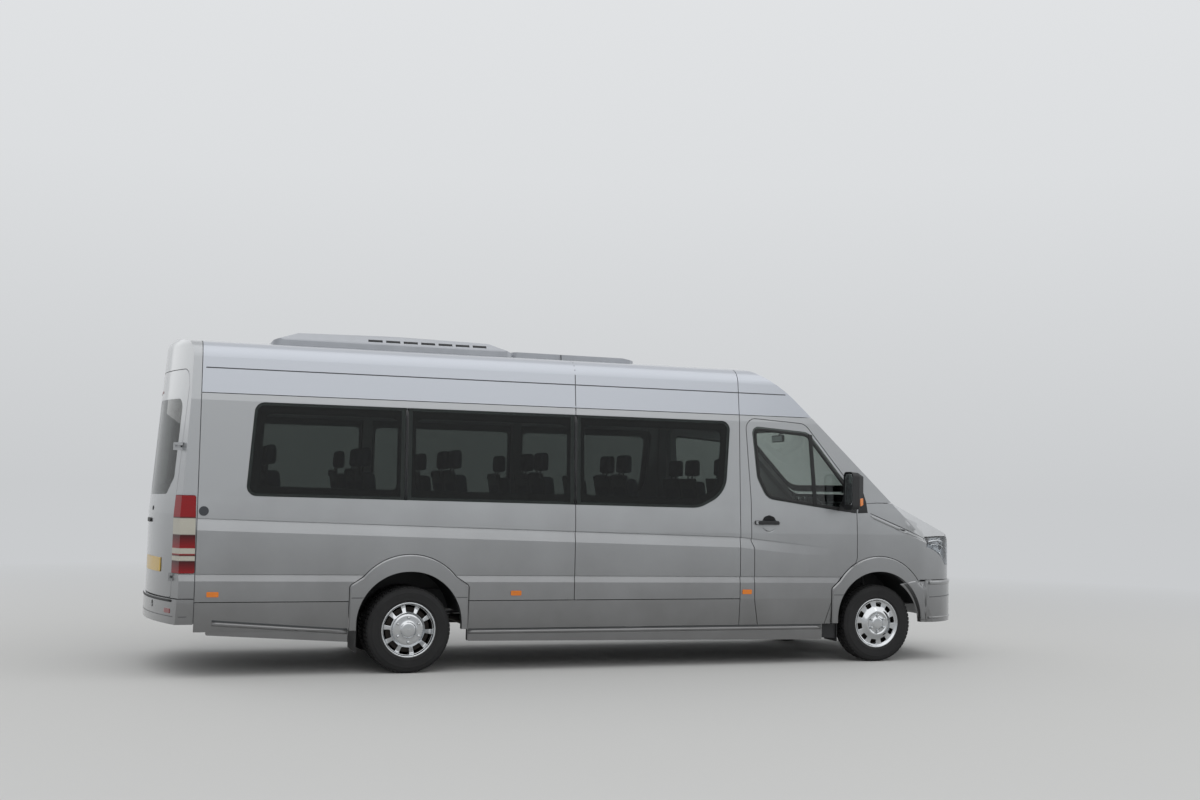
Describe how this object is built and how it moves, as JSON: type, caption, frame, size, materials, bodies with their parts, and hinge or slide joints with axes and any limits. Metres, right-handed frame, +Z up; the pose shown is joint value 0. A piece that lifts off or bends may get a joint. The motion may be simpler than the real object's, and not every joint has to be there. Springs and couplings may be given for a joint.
{
  "type": "minibus",
  "caption": "High-roof minibus on wheels: hollow body, hinged cab doors, rear doors and bonnet, steered front wheels, twin rear tyres, seats and a dashboard.",
  "frame": {"origin": "on the ground, under the middle of the bounding box", "axes": "+X forward, +Y to the left of the vehicle, +Z up; wheels straight ahead, doors and bonnet shut"},
  "size_m": [7.3448, 2.426, 2.7601],
  "materials": {
    "paint": "metallic",
    "inner_paint": "satin",
    "tinted_glass": "polished",
    "screen_glass": "polished",
    "black_plastic": "matte",
    "lamp_glass": "polished",
    "red_lens": "gloss",
    "amber_lens": "gloss",
    "white_plastic": "gloss",
    "tyre": "matte",
    "rubber": "matte",
    "trim_chrome": "polished",
    "frame_black": "satin",
    "cast_metal": "rough",
    "exhaust_steel": "dull",
    "seat_cloth": "woven"
  },
  "bodies": {
    "chassis": {"aircon_unit": "white_plastic", "arch_flares": "paint", "body_frame": "inner_paint", "cab_seats": "seat_cloth", "cab_side_rings": "paint", "chassis_frame": "frame_black", "dashboard": "black_plastic", "door_jambs": "inner_paint", "engine_block": "cast_metal", "exhaust": "exhaust_steel", "floor_pan": "inner_paint", "front_bumper": "paint", "front_structure": "inner_paint", "front_suspension": "frame_black", "fuel_tank": "frame_black", "grille": "black_plastic", "headlamps": "lamp_glass", "lower_cladding": "paint", "mud_flaps": "rubber", "passenger_seats": "seat_cloth", "propeller_shaft": "frame_black", "rear_axle": "frame_black", "rear_bumper": "paint", "rear_surround": "paint", "roof_front_cap": "paint", "roof_panel": "paint", "scuttle": "black_plastic", "side_glass": "tinted_glass", "side_markers": "amber_lens", "side_panels": "paint", "sliding_door": "paint", "spare_wheel": "tyre", "tail_lamps": "red_lens", "tow_sockets": "frame_black", "wheel_houses": "inner_paint", "windscreen": "screen_glass", "wings": "paint"},
    "front_door_right": {"front_door_right": "paint", "front_door_glass_right": "tinted_glass", "mirror_right": "black_plastic"},
    "front_door_left": {"front_door_left": "paint", "front_door_glass_left": "tinted_glass", "mirror_left": "black_plastic"},
    "rear_door_right": {"rear_door_right": "paint", "rear_door_glass_right": "tinted_glass"},
    "rear_door_left": {"rear_door_left": "paint", "rear_door_glass_left": "tinted_glass"},
    "bonnet": {"bonnet": "paint"},
    "knuckle_right": {"knuckle_right": "frame_black"},
    "knuckle_left": {"knuckle_left": "frame_black"},
    "front_wheel_right": {"front_wheel_right": "trim_chrome", "front_tyre_right": "tyre"},
    "front_wheel_left": {"front_wheel_left": "trim_chrome", "front_tyre_left": "tyre"},
    "rear_wheel_right": {"rear_wheel_right": "trim_chrome", "rear_tyres_right": "tyre"},
    "rear_wheel_left": {"rear_wheel_left": "trim_chrome", "rear_tyres_left": "tyre"},
    "steering_wheel": {"steering_wheel": "black_plastic"}
  },
  "joints": [
    {"name": "steering_right", "type": "hinge", "parent": "chassis", "child": "knuckle_right", "pos_m": [2.6685, -0.8, 0.222], "axis": [0, 0.2162, 0.9763], "range_deg": [-35, 35]},
    {"name": "front_wheel_spin_right", "type": "hinge", "parent": "knuckle_right", "child": "front_wheel_right", "pos_m": [2.6685, -0.855, 0.345], "axis": [0, 1, 0], "continuous": true},
    {"name": "rear_wheel_spin_right", "type": "hinge", "parent": "chassis", "child": "rear_wheel_right", "pos_m": [-1.6565, -0.88, 0.345], "axis": [0, 1, 0], "continuous": true},
    {"name": "front_door_hinge_right", "type": "hinge", "parent": "chassis", "child": "front_door_right", "pos_m": [2.4355, -0.985, 1.2], "axis": [0, 0, 1], "range_deg": [0, 70]},
    {"name": "rear_door_hinge_right", "type": "hinge", "parent": "chassis", "child": "rear_door_right", "pos_m": [-3.50854, -0.868, 1.27], "axis": [0, 0, 1], "range_deg": [0, 180]},
    {"name": "steering_left", "type": "hinge", "parent": "chassis", "child": "knuckle_left", "pos_m": [2.6685, 0.8, 0.222], "axis": [0, -0.2162, 0.9763], "range_deg": [-35, 35]},
    {"name": "front_wheel_spin_left", "type": "hinge", "parent": "knuckle_left", "child": "front_wheel_left", "pos_m": [2.6685, 0.855, 0.345], "axis": [0, 1, 0], "continuous": true},
    {"name": "rear_wheel_spin_left", "type": "hinge", "parent": "chassis", "child": "rear_wheel_left", "pos_m": [-1.6565, 0.88, 0.345], "axis": [0, 1, 0], "continuous": true},
    {"name": "front_door_hinge_left", "type": "hinge", "parent": "chassis", "child": "front_door_left", "pos_m": [2.4355, 0.985, 1.2], "axis": [0, 0, -1], "range_deg": [0, 70]},
    {"name": "rear_door_hinge_left", "type": "hinge", "parent": "chassis", "child": "rear_door_left", "pos_m": [-3.50854, 0.868, 1.27], "axis": [0, 0, -1], "range_deg": [0, 180]},
    {"name": "bonnet_hinge", "type": "hinge", "parent": "chassis", "child": "bonnet", "pos_m": [2.8723, 0, 1.4585], "axis": [0, -1, 0], "range_deg": [0, 50]},
    {"name": "steering_wheel_turn", "type": "hinge", "parent": "chassis", "child": "steering_wheel", "pos_m": [1.9285, -0.44, 1.335], "axis": [-0.5299, 0, 0.848], "range_deg": [-540, 540]}
  ],
  "couplings": [
    {"joint": "steering_left", "follows": "steering_right", "ratio": 1},
    {"joint": "steering_wheel_turn", "follows": "steering_right", "ratio": 15}
  ]
}
